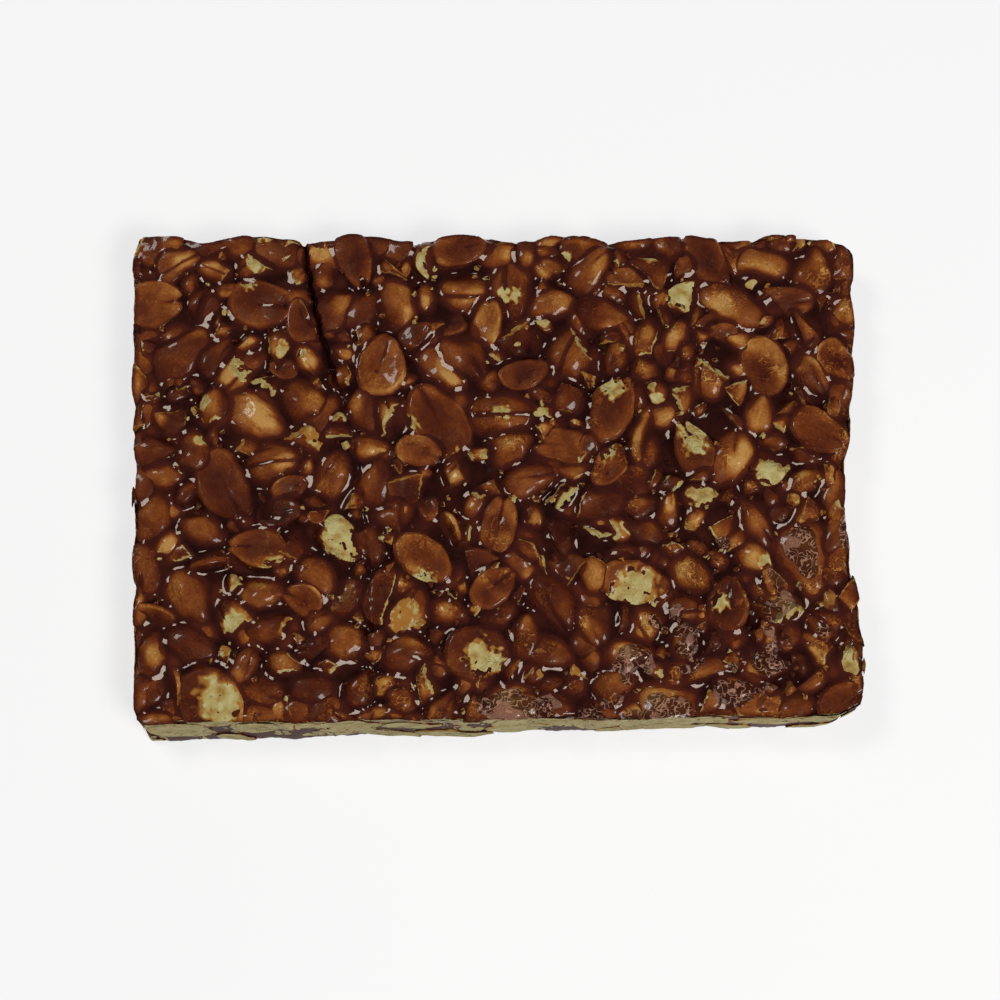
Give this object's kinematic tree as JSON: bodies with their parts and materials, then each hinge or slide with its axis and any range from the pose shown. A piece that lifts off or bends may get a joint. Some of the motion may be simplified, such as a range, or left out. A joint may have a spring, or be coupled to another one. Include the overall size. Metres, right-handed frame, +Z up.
{
  "type": "peanut brittle slab",
  "caption": "Flat rectangular slab of roasted peanuts set in dark boiled sugar, knife-cut sides, one scored line across, flat underside.",
  "frame": {"origin": "middle of the flat underside, on the surface that the slab rests on", "axes": "+X along the slab's length to the right, +Y from the knife-cut front side to the back, +Z up through its thickness"},
  "size_m": [0.149, 0.104, 0.0105],
  "materials": {
    "dark_sugar": "glossy dark caramelised sugar",
    "glazed_peanut": "roasted peanut under a thin glossy sugar film",
    "cut_peanut": "bare, knife-cut roasted peanut"
  },
  "bodies": {
    "root": {"brittle_slab": "dark_sugar"}
  },
  "joints": []
}
